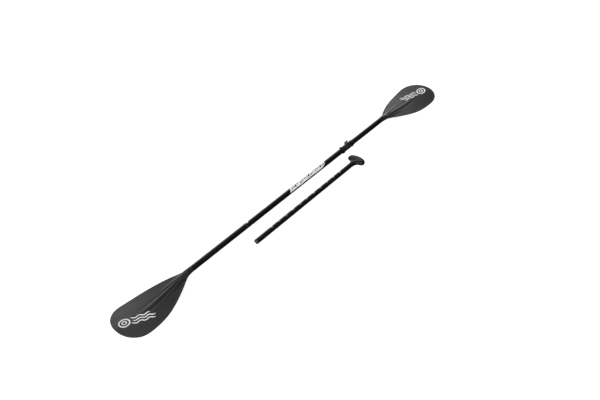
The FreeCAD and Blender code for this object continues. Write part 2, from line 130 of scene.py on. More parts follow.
def turned(profile, centre=(0.0, 0.0, 0.0), along="x", first=0.0, sweep=360.0, columns=96):
    """Closed profile of (distance, radius) carried round an axis: a point stands at the distance
    along the axis and at radius times the cosine and sine of the turn. A profile given as
    (distances, radii by row and column) may have a radius that changes with the turn."""
    whole = sweep == 360.0
    turn = np.radians(first + np.linspace(0, sweep, columns, endpoint=not whole))
    if isinstance(profile, tuple):
        distance, radius = (np.asarray(part, float) for part in profile)
    else:
        distance, radius = np.asarray(profile, float).T
        radius = np.repeat(radius[:, None], columns, 1)
    distance = np.append(distance, distance[0])
    radius = np.vstack([radius, radius[:1]])
    level = np.repeat(distance[:, None], columns, 1)
    side, rise = radius * np.cos(turn), radius * np.sin(turn)
    order = {"x": (level, side, rise), "z": (side, rise, level)}[along]
    points = np.stack(order, -1).reshape(-1, 3) + np.asarray(centre, float)
    faces = grid_faces(len(distance), columns, whole).tolist()
    if not whole:
        rows = np.arange(len(distance) - 1) * columns
        faces += [rows.tolist(), (rows + columns - 1)[::-1].tolist()]
    return points, faces


def slab(outline, low, high, edge, order, steps=5):
    """Outline carried from low to high; near both ends it draws in along its own normals, by up to
    edge, as a quarter circle. order says which axis each of (first, second, height) becomes."""
    outline = np.asarray(outline, float)
    run = np.roll(outline, -1, 0) - np.roll(outline, 1, 0)
    run /= np.maximum(np.linalg.norm(run, axis=1), 1e-9)[:, None]
    area = np.cross(outline, np.roll(outline, -1, 0)).sum()
    inward = np.stack([-run[:, 1], run[:, 0]], -1) * np.sign(area)
    turn = np.linspace(0, math.pi / 2, steps)
    draw = edge * (1 - np.sin(turn))
    lift = edge * (1 - np.cos(turn))
    level = np.concatenate([low + lift, (high - lift)[::-1]])
    inset = np.concatenate([draw, draw[::-1]])
    plan = outline[None] + inward[None] * inset[:, None, None]
    height = np.broadcast_to(level[:, None, None], plan.shape[:2] + (1,))
    points = np.concatenate([plan, height], -1).reshape(-1, 3)
    points = points[:, [order.index(axis) for axis in "xyz"]]
    count = len(outline)
    faces = grid_faces(len(level), count, True).tolist()
    faces += [list(range(count))[::-1], list(range((len(level) - 1) * count, len(level) * count))]
    return points, faces


def carried(path, across, section, caps=True):
    """Closed section carried along a path: section (u, v) becomes path + u * across + v * rise,
    where rise is the path's direction turned a right angle from across."""
    path, across = np.asarray(path, float), np.asarray(across, float)
    ahead = np.gradient(path, axis=0)
    ahead /= np.linalg.norm(ahead, axis=1)[:, None]
    rise = np.cross(ahead, across)
    section = np.broadcast_to(section, (len(path),) + np.asarray(section).shape[-2:])
    points = (
        path[:, None]
        + section[..., :1] * np.broadcast_to(across, path.shape)[:, None]
        + section[..., 1:] * rise[:, None]
    )
    count = section.shape[1]
    faces = grid_faces(len(path), count, True).tolist()
    if caps:
        last = (len(path) - 1) * count
        faces += [list(range(count))[::-1], list(range(last, last + count))]
    return points.reshape(-1, 3), faces


def smooth_curve(knots, count):
    """Points evenly spaced along the natural cubic spline through the knots, whose parameter is
    the length of the chords between them."""
    knots = np.asarray(knots, float)
    gap = np.linalg.norm(np.diff(knots, axis=0), axis=1)
    place = np.concatenate([[0], np.cumsum(gap)])
    size = len(knots)
    matrix, right = np.eye(size), np.zeros(knots.shape)
    inner = np.arange(1, size - 1)
    matrix[inner, inner - 1], matrix[inner, inner + 1] = gap[:-1], gap[1:]
    matrix[inner, inner] = 2 * (gap[:-1] + gap[1:])
    slope = np.diff(knots, axis=0) / gap[:, None]
    right[1:-1] = 6 * np.diff(slope, axis=0)
    bend = np.linalg.solve(matrix, right)

    def at(values):
        cell = np.clip(np.searchsorted(place, values, "right") - 1, 0, size - 2)
        width, into = gap[cell][:, None], (values - place[cell])[:, None]
        left, rest = bend[cell], width - into
        return (
            left * rest**3 / (6 * width)
            + bend[cell + 1] * into**3 / (6 * width)
            + (knots[cell] / width - left * width / 6) * rest
            + (knots[cell + 1] / width - bend[cell + 1] * width / 6) * into
        )

    fine = at(np.linspace(0, place[-1], 3000))
    run = np.concatenate([[0], np.cumsum(np.linalg.norm(np.diff(fine, axis=0), axis=1))])
    even = np.interp(np.linspace(0, run[-1], count), run, np.linspace(0, place[-1], 3000))
    return at(even)


def ease(values, low, high):
    """0 below low, 1 above high, and 3t^2 - 2t^3 between."""
    share = np.clip((np.asarray(values, float) - low) / (high - low), 0, 1)
    return share * share * (3 - 2 * share)


# ---------------------------------------------------------------- materials
def new_finish(name, **sockets):
    """A material whose shader sockets are set by name, with _ for a space."""
    material = bpy.data.materials.new(name)
    material.use_nodes = True
    shader = material.node_tree.nodes["Principled BSDF"]
    for socket, value in sockets.items():
        shader.inputs[socket.replace("_", " ")].default_value = value
    return material


def add_node(material, kind, **settings):
    """A shader node; each setting is one of its properties or else one of its inputs."""
    node = material.node_tree.nodes.new("ShaderNode" + kind)
    for key, value in settings.items():
        if key in node.bl_rna.properties:
            setattr(node, key, value)
        else:
            node.inputs[key.replace("_", " ")].default_value = value
    return node


def join(material, start, socket, end, into):
    """Links an output of one node to an input of another."""
    material.node_tree.links.new(start.outputs[socket], end.inputs[into])


def noise(material, scale, stretch=(1, 1, 1), detail=3.0, rough=0.5, kind="TexNoise"):
    """A noise of the piece's own Object coordinates; scale counts features in each metre."""
    place = add_node(material, "TexCoord")
    spread = add_node(material, "Mapping")
    spread.inputs["Scale"].default_value = stretch
    join(material, place, "Object", spread, "Vector")
    if kind == "TexVoronoi":
        pattern = add_node(material, kind, Scale=scale)
    else:
        pattern = add_node(material, kind, Scale=scale, Detail=detail, Roughness=rough)
    join(material, spread, "Vector", pattern, "Vector")
    return pattern


def output_of(pattern):
    """Name of the output that carries a pattern's value."""
    return "Distance" if pattern.bl_idname == "ShaderNodeTexVoronoi" else "Fac"


def coloured(material, pattern, stops):
    """Base colour from a ramp over the pattern; stops are (position, colour)."""
    ramp = add_node(material, "ValToRGB")
    bar = ramp.color_ramp
    while len(bar.elements) < len(stops):
        bar.elements.new(0.5)
    for element, (position, colour) in zip(bar.elements, stops):
        element.position = position
        element.color = (*colour, 1.0)
    join(material, pattern, output_of(pattern), ramp, "Fac")
    join(material, ramp, "Color", material.node_tree.nodes["Principled BSDF"], "Base Color")
    return ramp


def roughened(material, pattern, low, high, start=0.3, end=0.7):
    """Roughness from low to high as the pattern goes from start to end."""
    spread = add_node(material, "MapRange")
    for socket, value in zip(("From Min", "From Max", "To Min", "To Max"), (start, end, low, high)):
        spread.inputs[socket].default_value = value
    join(material, pattern, output_of(pattern), spread, "Value")
    join(material, spread, "Result", material.node_tree.nodes["Principled BSDF"], "Roughness")


def bumped(material, layers):
    """Stacked bumps: each layer is (pattern, depth in metres, strength)."""
    below = None
    for pattern, depth, strength in layers:
        bump = add_node(material, "Bump", Distance=depth, Strength=strength)
        join(material, pattern, output_of(pattern), bump, "Height")
        if below is not None:
            join(material, below, "Normal", bump, "Normal")
        below = bump
    join(material, below, "Normal", material.node_tree.nodes["Principled BSDF"], "Normal")


def grey(value, warm=0.0):
    """A grey, with more red and less blue as warm grows."""
    return (value * (1 + warm), value, value * (1 - warm))


def tube_coating():
    """Satin black coating on drawn aluminium: draw lines along X, orange peel, faint scuffs."""
    material = new_finish("satin_black_coating", Specular_IOR_Level=0.65)
    scuffs = noise(material, 24, (0.25, 2.2, 2.2), 6, 0.62)
    coloured(material, scuffs, [(0.3, grey(0.002)), (0.6, grey(0.003)), (0.78, grey(0.006))])
    roughened(material, scuffs, 0.34, 0.46)
    peel = noise(material, 900, detail=2)
    draw_lines = noise(material, 700, (0.02, 1, 1), 2)
    bumped(material, [(draw_lines, 0.0002, 0.06), (peel, 0.0002, 0.08)])
    return material


def bare_aluminium():
    """Bare drawn aluminium inside tubes and on drilled edges, with brushed lines along X."""
    material = new_finish("bare_aluminium", Metallic=1.0)
    lines = noise(material, 500, (0.03, 1, 1), 3)
    coloured(material, lines, [(0.3, grey(0.52)), (0.7, grey(0.68))])
    roughened(material, lines, 0.28, 0.45)
    bumped(material, [(lines, 0.0002, 0.1)])
    return material


def blade_nylon():
    """Charcoal glass-filled nylon: flow marks from the neck, fine mould grain, duller patches."""
    material = new_finish("charcoal_blade_nylon", Specular_IOR_Level=0.32)
    flow = noise(material, 16, (0.5, 2.4, 1), 5, 0.6)
    coloured(material, flow, [(0.25, grey(0.012)), (0.55, grey(0.017)), (0.8, grey(0.026))])
    roughened(material, flow, 0.40, 0.55)
    grain = noise(material, 650, detail=2, rough=0.6)
    fibres = noise(material, 170, (0.12, 1, 1), 3, 0.6)
    bumped(material, [(fibres, 0.0004, 0.10), (grain, 0.0003, 0.22)])
    return material


def grip_plastic():
    """Black polypropylene with a pebbled grip texture and a soft gloss."""
    material = new_finish("black_grip_plastic", Specular_IOR_Level=0.22)
    patches = noise(material, 30, detail=4)
    coloured(material, patches, [(0.3, grey(0.004)), (0.7, grey(0.007))])
    roughened(material, patches, 0.26, 0.38)
    pebbles = noise(material, 520, kind="TexVoronoi")
    bumped(material, [(pebbles, 0.0002, 0.14)])
    return material


def cap_plastic():
    """Dark grey soft plastic of the end cap, dulled by fine scratches."""
    material = new_finish("grey_cap_plastic", Specular_IOR_Level=0.4)
    scratches = noise(material, 260, (1, 1, 0.15), 5, 0.6)
    coloured(material, scratches, [(0.3, grey(0.035)), (0.7, grey(0.060))])
    roughened(material, scratches, 0.42, 0.58)
    bumped(material, [(scratches, 0.0002, 0.12)])
    return material


def clamp_nylon():
    """Black moulded nylon of the clamp, finely spark-eroded."""
    material = new_finish("black_clamp_nylon", Specular_IOR_Level=0.5)
    patches = noise(material, 60, detail=4)
    coloured(material, patches, [(0.3, grey(0.006)), (0.7, grey(0.011))])
    roughened(material, patches, 0.34, 0.48)
    bumped(material, [(noise(material, 1500, detail=3, rough=0.7), 0.0002, 0.2)])
    return material


def steel():
    """Bright stainless steel with fine turning lines."""
    material = new_finish("stainless_steel", Metallic=1.0)
    lines = noise(material, 900, (1, 0.2, 1), 3)
    coloured(material, lines, [(0.3, grey(0.58, 0.01)), (0.7, grey(0.74, 0.01))])
    roughened(material, lines, 0.2, 0.32)
    bumped(material, [(lines, 0.0001, 0.08)])
    return material


def label_vinyl():
    """Gloss white vinyl with a barely uneven film."""
    material = new_finish("white_label_vinyl", Coat_Weight=0.3, Coat_Roughness=0.12)
    film = noise(material, 40, detail=4)
    coloured(material, film, [(0.3, grey(0.86)), (0.7, grey(0.92))])
    roughened(material, film, 0.3, 0.42)
    bumped(material, [(film, 0.0003, 0.05)])
    return material


def print_ink(name, low, high):
    """Screen-printed ink, slightly mottled where it is thin."""
    material = new_finish(name)
    film = noise(material, 320, detail=5, rough=0.65)
    coloured(material, film, [(0.25, grey(low)), (0.55, grey(high))])
    roughened(material, film, 0.42, 0.58)
    bumped(material, [(film, 0.0001, 0.12)])
    return material


def rubber():
    """Dull dark rubber."""
    material = new_finish("stopper_rubber")
    dust = noise(material, 120, detail=5)
    coloured(material, dust, [(0.3, grey(0.018)), (0.75, grey(0.035))])
    roughened(material, dust, 0.7, 0.85)
    bumped(material, [(noise(material, 900, detail=3), 0.0002, 0.25)])
    return material


def foam():
    """Closed-cell grey foam: small round cells in the bump and the colour."""
    material = new_finish("closed_cell_foam")
    cells = noise(material, 700, kind="TexVoronoi")
    coloured(material, cells, [(0.0, grey(0.10)), (0.6, grey(0.20))])
    roughened(material, cells, 0.85, 0.95, 0.0, 0.6)
    bumped(material, [(cells, 0.0005, 0.6)])
    return material


COATING, BARE, NYLON, GRIP = tube_coating(), bare_aluminium(), blade_nylon(), grip_plastic()
CLAMP, STEEL, VINYL, RUBBER, FOAM = clamp_nylon(), steel(), label_vinyl(), rubber(), foam()
CAP = cap_plastic()
WHITE_INK = print_ink("white_print_ink", 0.80, 0.92)
DARK_INK = print_ink("dark_print_ink", 0.012, 0.022)


# ---------------------------------------------------------------- blades
BLADE_LENGTH = 425.0
BLADE_OUTLINE = [
    (0, 14.5),
    (20, 17.5),
    (74, 42.5),
    (139, 75),
    (213, 101.5),
    (303, 115),
    (364, 110),
    (406, 73.5),
    (425, 0),
]
BLADE_ROWS, BLADE_COLUMNS = 170, 129
PLATE_HALF = 2.0
SPINE_HEIGHT = [(0, 14.5), (17, 14.3), (60, 9.4), (110, 6.4), (170, 4.8), (250, 3.2), (325, 0)]
SPINE_WIDTH = [(0, 14.5), (17, 16.8), (40, 24), (70, 33), (120, 38), (170, 36), (330, 22)]
FLUTE_DEPTH = [(58, 0), (76, 3.0), (105, 4.4), (150, 3.8), (210, 2.4), (270, 1.0), (318, 0)]
FLUTE_PLACE = [(60, 3), (80, 6), (100, 9), (146, 13), (212, 15.5), (318, 17)]
FLUTE_WIDTH = [(58, 2.0), (110, 4.0), (260, 5.5)]


def blade_side(count):
    """One edge of the blade in plan, from the tube to the tip: the first half of a smooth curve
    through the outline and its mirror image, which makes the tip round."""
    knots = BLADE_OUTLINE + [(x, -half) for x, half in BLADE_OUTLINE[-2::-1]]
    side = smooth_curve(knots, 2 * count - 1)[:count]
    side[-1] = (BLADE_LENGTH, 0)
    return side


def edge_distance(x, y, side):
    """Shortest distance in plan from each point to the dense edge curve."""
    away = np.full(np.shape(x), np.inf)
    for part in np.array_split(side, 8):
        gap = np.hypot(x[..., None] - part[:, 0], np.abs(y)[..., None] - part[:, 1])
        away = np.minimum(away, gap.min(-1))
    return away


BLADE_EDGE = blade_side(BLADE_ROWS * 4 - 3)


NECK_LENGTH = 17.0
BLADE_SLOPE = 0.165
SCOOP_START, SCOOP_SPAN = 167.0, 1140.0
CROWN_HEIGHT, CROWN_ROUND = 8.0, 0.02


def blade_middle(x, y):
    """Mid surface: level neck, slope 0.165, then a parabola that lifts the tip, plus two flanks
    that fall evenly from the centre line, by up to 8 mm, and meet there in a hyperbola."""
    past = 0.5 * (x - NECK_LENGTH + np.sqrt((x - NECK_LENGTH) ** 2 + 144)) - 1.9
    scoop = np.clip(x - SCOOP_START, 0, None) ** 2 / SCOOP_SPAN
    half = np.maximum(np.interp(x, *BLADE_EDGE.T), 1.0)
    crown = CROWN_HEIGHT * (half / 115) ** 1.3 * ease(x, 30, 150)
    peak = math.sqrt(CROWN_ROUND)
    ridge = np.sqrt(np.clip(y / half, -1, 1) ** 2 + CROWN_ROUND) - peak
    return -BLADE_SLOPE * past + scoop + crown * (1 - ridge / (math.sqrt(1 + CROWN_ROUND) - peak))


def blade_half_thickness(x, y):
    """Half the thickness: the fourth-power mean of a plate whose edge is a half circle and a spine
    that starts as the round neck, plus a low bead inside the edge, less a flute on each side."""
    inside = edge_distance(x, y, BLADE_EDGE)
    plate = PLATE_HALF * np.sqrt(1 - (1 - np.minimum(inside, PLATE_HALF) / PLATE_HALF) ** 2)
    height = np.interp(x, *zip(*SPINE_HEIGHT))
    width = np.interp(x, *zip(*SPINE_WIDTH))
    power = 0.5 + 0.8 * ease(x, 8, 75)
    spine = height * np.clip(1 - (y / width) ** 2, 0, 1) ** power
    body = (plate**4 + spine**4) ** 0.25
    bead = 0.45 * np.exp(-(((inside - 3.6) / 1.5) ** 2)) * ease(x, 45, 90)
    place = np.interp(x, *zip(*FLUTE_PLACE))
    depth = np.interp(x, *zip(*FLUTE_DEPTH))
    wide = np.interp(x, *zip(*FLUTE_WIDTH))
    flute = depth * np.exp(-(((np.abs(y) - place) / wide) ** 2))
    return body + bead * (plate / PLATE_HALF) - np.minimum(flute, 0.6 * body)


def blade_top(x, y):
    """Upper face: the mid surface plus half the thickness."""
    return blade_middle(x, y) + blade_half_thickness(x, y)


def blade_shell():
    """Rows follow the edge curve, columns cross the blade at y = half width * sin(turn); the upper
    and lower faces stand the half thickness above and below the mid surface. Round rows before
    the first make the shoulder and the plug inside the tube."""
    side = BLADE_EDGE[::4]
    across = np.sin(np.linspace(-math.pi / 2, math.pi / 2, BLADE_COLUMNS))
    x = np.repeat(side[:, :1], BLADE_COLUMNS, 1)
    y = side[:, 1:] * across
    middle, half = blade_middle(x, y), blade_half_thickness(x, y)
    half[:, [0, -1]] = 0
    half[-1] = 0
    half[0] = SHAFT_RADIUS * np.sqrt(1 - across**2)
    middle[0] = 0
    upper = np.stack([x, y, middle + half], -1)
    lower = np.stack([x, y, middle - half], -1)[:, -2:0:-1]
    rows = np.concatenate([upper, lower], 1)
    ring = rows[0] * (1, 1 / SHAFT_RADIUS, 1 / SHAFT_RADIUS)
    plug = [(-50.0, 0.0), (-50.0, 12.0), (-48.8, 13.2), (0.0, 13.2), (0.0, 14.2)]
    start = np.stack([ring * (0, radius, radius) + (place, 0, 0) for place, radius in plug])
    rows = np.concatenate([start, rows])
    return rows.reshape(-1, 3), grid_faces(rows.shape[0], rows.shape[1], True)


def stroke(path, half_width, taper=0.0):
    """Raised line of ink on the blade: across the path it spans the half width either way, stands
    0.15 mm over the upper face, and its borders go 0.3 mm below it. A tapered line narrows at
    both ends over that share of its length."""
    path = np.asarray(path, float)
    ahead = np.gradient(path, axis=0)
    ahead /= np.linalg.norm(ahead, axis=1)[:, None]
    side = np.stack([-ahead[:, 1], ahead[:, 0]], -1)
    share = np.linspace(0, 1, len(path))
    half = np.full(len(path), half_width)
    if taper:
        half *= 0.08 + 0.92 * np.sin(
            math.pi / 2 * np.clip(np.minimum(share, 1 - share) / taper, 0, 1)
        )
    spread = np.array([-1, -1, -0.85, 0, 0.85, 1, 1])
    lift = np.array([-0.3, 0.08, 0.15, 0.15, 0.15, 0.08, -0.3])
    plan = path[:, None] + side[:, None] * (half[:, None] * spread)[..., None]
    height = blade_top(plan[..., 0], plan[..., 1]) + lift
    points = np.concatenate([plan, height[..., None]], -1).reshape(-1, 3)
    count = len(spread)
    faces = grid_faces(len(path), count, True).tolist()
    if np.linalg.norm(path[0] - path[-1]) > 1e-6:
        last = (len(path) - 1) * count
        faces += [list(range(count))[::-1], list(range(last, last + count))]
    return points, faces


def emblem():
    """Sun-and-waves emblem on the outer part of a blade: two rings, and lines whose distance from
    the emblem's axis is a sine of the distance along it. The axis slants across the blade."""
    start, turn = np.array([248.0, 48.0]), math.radians(-23.0)
    along = np.array([math.cos(turn), math.sin(turn)])
    across = np.array([-math.sin(turn), math.cos(turn)])

    def placed(a, b):
        return start + np.outer(a, along) + np.outer(b, across)

    lines = []
    turns = np.linspace(0, 2 * math.pi, 73)
    for radius, half in ((23.0, 3.0), (9.5, 2.6)):
        lines.append(stroke(placed(138 + radius * np.cos(turns), radius * np.sin(turns)), half))
    for offset, first, last in ((16, 4, 112), (0, 0, 103), (-16, 22, 110)):
        a = np.linspace(first, last, 70)
        lines.append(stroke(placed(a, offset + 4.0 * np.sin(a * 2 * math.pi / 40)), 2.9, 0.15))
    return lines


def build_blade(prefix, joint, facing_back):
    """The same moulding serves both ends; the near one is turned half round about Z."""
    turn = -1 if facing_back else 1
    pose = np.array([turn, turn, 1.0])

    def placed(shell):
        return shell[0] * pose + (joint, 0, 0), shell[1]

    body = prefix + "_section"
    add_piece(
        prefix + "_blade_moulding", [placed(blade_shell())], body, NYLON,
        [prefix + "_blade"], crease=50,
    )
    add_piece(
        prefix + "_blade_emblem", [placed(line) for line in emblem()], body,
        WHITE_INK, crease=60,
    )


build_blade("near", -696.0, True)
build_blade("far", 696.0, False)


# ---------------------------------------------------------------- tubes
WORN_RING = 2.0


def divided(marks, counts):
    """Values from the first mark to the last, each stretch divided into its own count."""
    stretches = [
        np.linspace(a, b, count, endpoint=False) for a, b, count in zip(marks, marks[1:], counts)
    ]
    return np.concatenate(stretches + [np.array([marks[-1]])])


def wall_sheet(start, end, radius, holes=(), slots=(), centre=(0, 0, 0)):
    """Outer skin of a tube on a grid of length and turn. A hole (x, radius) in the upper wall takes
    a square of the grid, filled with rings that go from a circle to the square's border, all
    looked at straight from above. A slot (first x, last x, half width, turn) takes whole cells."""
    sides = 7
    reach = 1.8 * max([size for x, size in holes], default=4.0)
    lid = math.degrees(math.asin(reach / radius))
    marks = {90 - lid: 0, 90 + lid: 0}
    for first, last, half, turn in slots:
        wide = math.degrees(math.asin(half / radius))
        if turn != 90:
            marks.update({turn - wide: 0, turn + wide: 0, turn + wide - 360: 0})
    ring = sorted({round(m % 360, 6) for m in marks})
    top = ring.index(round(90 - lid, 6))
    ring = ring[top:] + [m + 360 for m in ring[: top + 1]]
    counts = [max(2, math.ceil((b - a) / 5)) for a, b in zip(ring, ring[1:])]
    turns = divided(ring[1:], counts[1:])[:-1]
    lid_lines = np.linspace(-reach, reach, 2 * sides + 1)
    slot_half = [half for first, last, half, turn in slots if turn == 90]
    if slot_half:
        lid_lines = np.unique(np.concatenate([lid_lines, [-slot_half[0], slot_half[0]]]))
    lid_turns = 90 - np.degrees(np.arcsin(lid_lines / radius))
    turns = np.concatenate([turns % 360, lid_turns[::-1][:-1]])

    stops = sorted({start, end, *(x + s * reach for x, size in holes for s in (-1, 1))}
                   | {edge for first, last, half, turn in slots for edge in (first, last)})
    middles = [(a + b) / 2 for a, b in zip(stops, stops[1:])]
    in_hole = [any(abs(m - x) < reach for x, size in holes) for m in middles]
    counts = [
        2 * sides if hole else max(2, math.ceil((b - a) / 14))
        for hole, a, b in zip(in_hole, stops, stops[1:])
    ]
    x = divided(stops, counts)
    rows, columns = len(x), len(turns)
    turn = np.radians(turns)
    points = np.stack(
        [
            np.repeat(x[:, None], columns, 1),
            np.tile(radius * np.cos(turn), (rows, 1)),
            np.tile(radius * np.sin(turn), (rows, 1)),
        ],
        -1,
    ).reshape(-1, 3)
    faces = grid_faces(rows, columns, True)
    middle = points[faces].mean(1)
    keep = np.ones(len(faces), bool)
    for place, size in holes:
        keep &= ~(
            (np.abs(middle[:, 0] - place) < reach)
            & (np.abs(middle[:, 1]) < reach)
            & (middle[:, 2] > 0)
        )
    for first, last, half, angle in slots:
        if angle == 90:
            within = (np.abs(middle[:, 1]) < half) & (middle[:, 2] > 0)
        else:
            within = (np.abs(middle[:, 2]) < half) & (middle[:, 1] > 0)
        keep &= ~(within & (middle[:, 0] > first) & (middle[:, 0] < last))
    points, faces = [points], [faces[keep]]

    line = np.linspace(-1, 1, 2 * sides + 1)[:-1]
    one = np.ones_like(line)
    sides_in_turn = [(line, -one), (one, line), (-line, one), (-one, -line)]
    border = np.concatenate([np.stack(side, -1) for side in sides_in_turn])
    circle = border / np.linalg.norm(border, axis=1)[:, None]
    for place, size in holes:
        share = np.append(0, np.linspace(WORN_RING / (reach - size), 1, 4))[:, None, None]
        plan = (1 - share) * circle * size + share * border * reach
        rise = np.sqrt(radius**2 - plan[..., 1] ** 2)
        patch = np.stack([plan[..., 0] + place, plan[..., 1], rise], -1)
        count = sum(len(block) for block in points)
        points.append(patch.reshape(-1, 3))
        faces.append(grid_faces(len(share), len(border), True)[:, ::-1] + count)
    points = np.concatenate(points) + np.asarray(centre, float)
    return points, np.concatenate(faces)


def wear_round(piece, holes, centre):
    """The coating is worn through to bare metal on a narrow ring round each hole."""
    mesh = piece.data
    middle = np.empty(3 * len(mesh.polygons))
    mesh.polygons.foreach_get("center", middle)
    middle = middle.reshape(-1, 3) / MM - centre
    bare = np.zeros(len(mesh.polygons), np.int32)
    for place, size in holes:
        away = np.hypot(middle[:, 0] - place, middle[:, 1])
        bare[(away < size + WORN_RING) & (middle[:, 2] > 0)] = 1
    mesh.polygons.foreach_set("material_index", bare)


def add_wall(piece, wall):
    """Gives a tube's skin its thickness inwards and rounds every drilled or sawn edge."""
    thick = piece.modifiers.new("wall", "SOLIDIFY")
    thick.thickness = wall * MM
    thick.offset = -1
    thick.use_even_offset = True
    thick.material_offset = 1
    thick.material_offset_rim = 1
    edge = piece.modifiers.new("edge", "BEVEL")
    edge.width = 0.25 * MM
    edge.segments = 2
    edge.limit_method = "ANGLE"
    edge.angle_limit = math.radians(40)
    edge.harden_normals = True
    edge.material = 1


def add_tube(
    name, node, body, start, end, radius, wall, centre=(0, 0, 0), holes=(), slots=()
):
    """A tube for one CAD node, with its wall, drilled holes and slots; coated outside, bare within."""
    shell = wall_sheet(start, end, radius, holes, slots, centre)
    piece = add_piece(name, [shell], body, [COATING, BARE], [node], open_sheet=True)
    wear_round(piece, holes, centre)
    add_wall(piece, wall)
    return piece


add_tube("near_shaft_tube", "near_tube", "near_section", -696, -350,
         SHAFT_RADIUS, SHAFT_WALL)
add_tube("far_shaft_tube", "far_tube", "far_section", 452, 696,
         SHAFT_RADIUS, SHAFT_WALL)
add_tube("middle_shaft_tube", "middle_tube", "middle_section", -350, 440,
         SHAFT_RADIUS, SHAFT_WALL, holes=[(-336, 4.4), (419, 4.5)], slots=[(380, 440, 1.5, 0)])
add_tube("near_spigot_tube", "near_spigot", "near_section", -440, -240,
         INNER_RADIUS, INNER_WALL, holes=[(-336, 4.4)])
add_tube("far_spigot_tube", "far_spigot", "far_section", 342, 542,
         INNER_RADIUS, INNER_WALL, slots=[(342, 425.5, 3.75, 90)])
INDEX_HOLES = [(-274.0 + 50 * step, 3.5) for step in range(11)]
add_tube("handle_long_tube", "handle_tube", "handle_section", -380, 312,
         INNER_RADIUS, INNER_WALL, HANDLE_AXIS, INDEX_HOLES)


# ---------------------------------------------------------------- shaft label
LABEL_START, LABEL_END = -46.0, 224.0
LABEL_EDGE = (8.0, 164.0)
LABEL_SKIN = (14.52, 14.68)


def label_ends(turn):
    """Where the label starts and ends at each turn: both ends lean back towards the lower edge, and
    the far end sweeps round into it."""
    share = np.clip((turn - 40) / (LABEL_EDGE[1] - 40), 0, 1)
    start = LABEL_START - 5 + 20 * (1 - share)
    sweep = np.clip((turn - 95) / (LABEL_EDGE[1] - 95), 0, 1)
    end = LABEL_END - 6 * share - 42 * (1 - np.sqrt(1 - 0.98 * sweep**2.2))
    return start, end


def label_patch(first, last, low, high, skin, rows, columns, lean=None):
    """Closed patch of film on the shaft: length by turn, an outer skin over an inner one."""
    turn = np.linspace(low, high, columns)
    share = np.linspace(0, 1, rows)[:, None]
    begin, end = (first, last) if lean is None else lean(turn)
    x = begin + (end - begin) * share + 0 * turn
    angle = np.radians(turn) + 0 * x
    layers = [np.stack([x, r * np.cos(angle), r * np.sin(angle)], -1) for r in skin]
    points = np.concatenate([layer.reshape(-1, 3) for layer in layers])
    count = rows * columns
    faces = grid_faces(rows, columns)
    border = np.concatenate(
        [
            np.arange(columns - 1),
            columns - 1 + columns * np.arange(rows - 1),
            count - 1 - np.arange(columns - 1),
            columns * (rows - 1 - np.arange(rows - 1)),
        ]
    )
    after = np.roll(border, -1)
    rim = np.stack([border, after, after + count, border + count], -1)
    return points, np.concatenate([faces, faces[:, ::-1] + count, rim])


def leaning(first, length, slant):
    """Ends of a bar printed on the label, whose sides lean along the shaft."""

    def ends(turn):
        middle = 0.5 * (turn[0] + turn[-1])
        shift = first - slant * (turn - middle)
        return shift, shift + length

    return ends


def label_marks():
    """Row of leaning bars and half bars across the label, in the ink of the tube's own black."""
    skin = (LABEL_SKIN[1] - 0.05, LABEL_SKIN[1] + 0.06)
    low, high = 80.0, 134.0
    bars = []
    cursor = -28.0
    for width, bottom, top in (
        (4, 0, 1), (4, 0, 1), (9, 0, 1), (13, 0.65, 1), (13, 0, 0.35), (4, 0, 1), (18, 0.36, 0.64),
        (4, 0, 1), (9, 0, 1), (13, 0, 0.35), (13, 0.65, 1), (4, 0, 1), (18, 0.36, 0.64), (9, 0, 1),
        (4, 0, 1), (4, 0, 1),
    ):
        span = high - low
        bars.append(
            label_patch(0, 0, high - top * span, high - bottom * span, skin, 6, 12,
                        leaning(cursor, width, 0.12))
        )
        cursor += width + 6.4
    return bars


add_piece(
    "shaft_label_film",
    [label_patch(0, 0, *LABEL_EDGE, LABEL_SKIN, 60, 60, label_ends)],
    "middle_section", VINYL, ["shaft_label"], crease=60,
)
add_piece("shaft_label_bars", label_marks(), "middle_section", DARK_INK, crease=60)


# ---------------------------------------------------------------- snap button
def spring_path():
    """Leaf bent into a U: along the top, half a turn round the fold, and back along the bottom."""
    turn = np.linspace(math.pi / 2, 1.5 * math.pi, 40)
    top = np.stack([np.linspace(4, -42, 24), np.full(24, 10.5)], -1)[:-1]
    fold = np.stack([-42 + 10.5 * np.cos(turn), 10.5 * np.sin(turn)], -1)
    bottom = np.stack([np.linspace(-42, -4, 20), np.full(20, -10.5)], -1)[1:]
    plan = np.concatenate([top, fold, bottom])
    return np.stack([plan[:, 0] - 336, np.zeros(len(plan)), plan[:, 1]], -1)


button = rounded(
    [(10.6, 0), (10.6, 3.9), (16.3, 3.9), (16.5, 0)], [0, 0.2, 1.6, 0], 7
)
leaf = rounded([(-4, -0.38), (4, -0.38), (4, 0.38), (-4, 0.38)], 0.25, 4)
button_and_leaf = add_piece(
    "snap_button_spring",
    [
        turned(button, (-336, 0, 0), "z", columns=48),
        carried(spring_path(), (0, 1, 0), leaf),
    ],
    None, STEEL, ["snap_button"],
)
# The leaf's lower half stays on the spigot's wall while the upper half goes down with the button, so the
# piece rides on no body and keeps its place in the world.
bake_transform(button_and_leaf)


# ---------------------------------------------------------------- clamp
CLAMP_MIDDLE, PIVOT_OUT, PIVOT_UP = 419.0, 18.5, 14.0
LEVER_LOW, LEVER_HIGH = CLAMP_MIDDLE - 10, CLAMP_MIDDLE + 10
FORK_LOW, FORK_HIGH = CLAMP_MIDDLE - 3, CLAMP_MIDDLE + 3


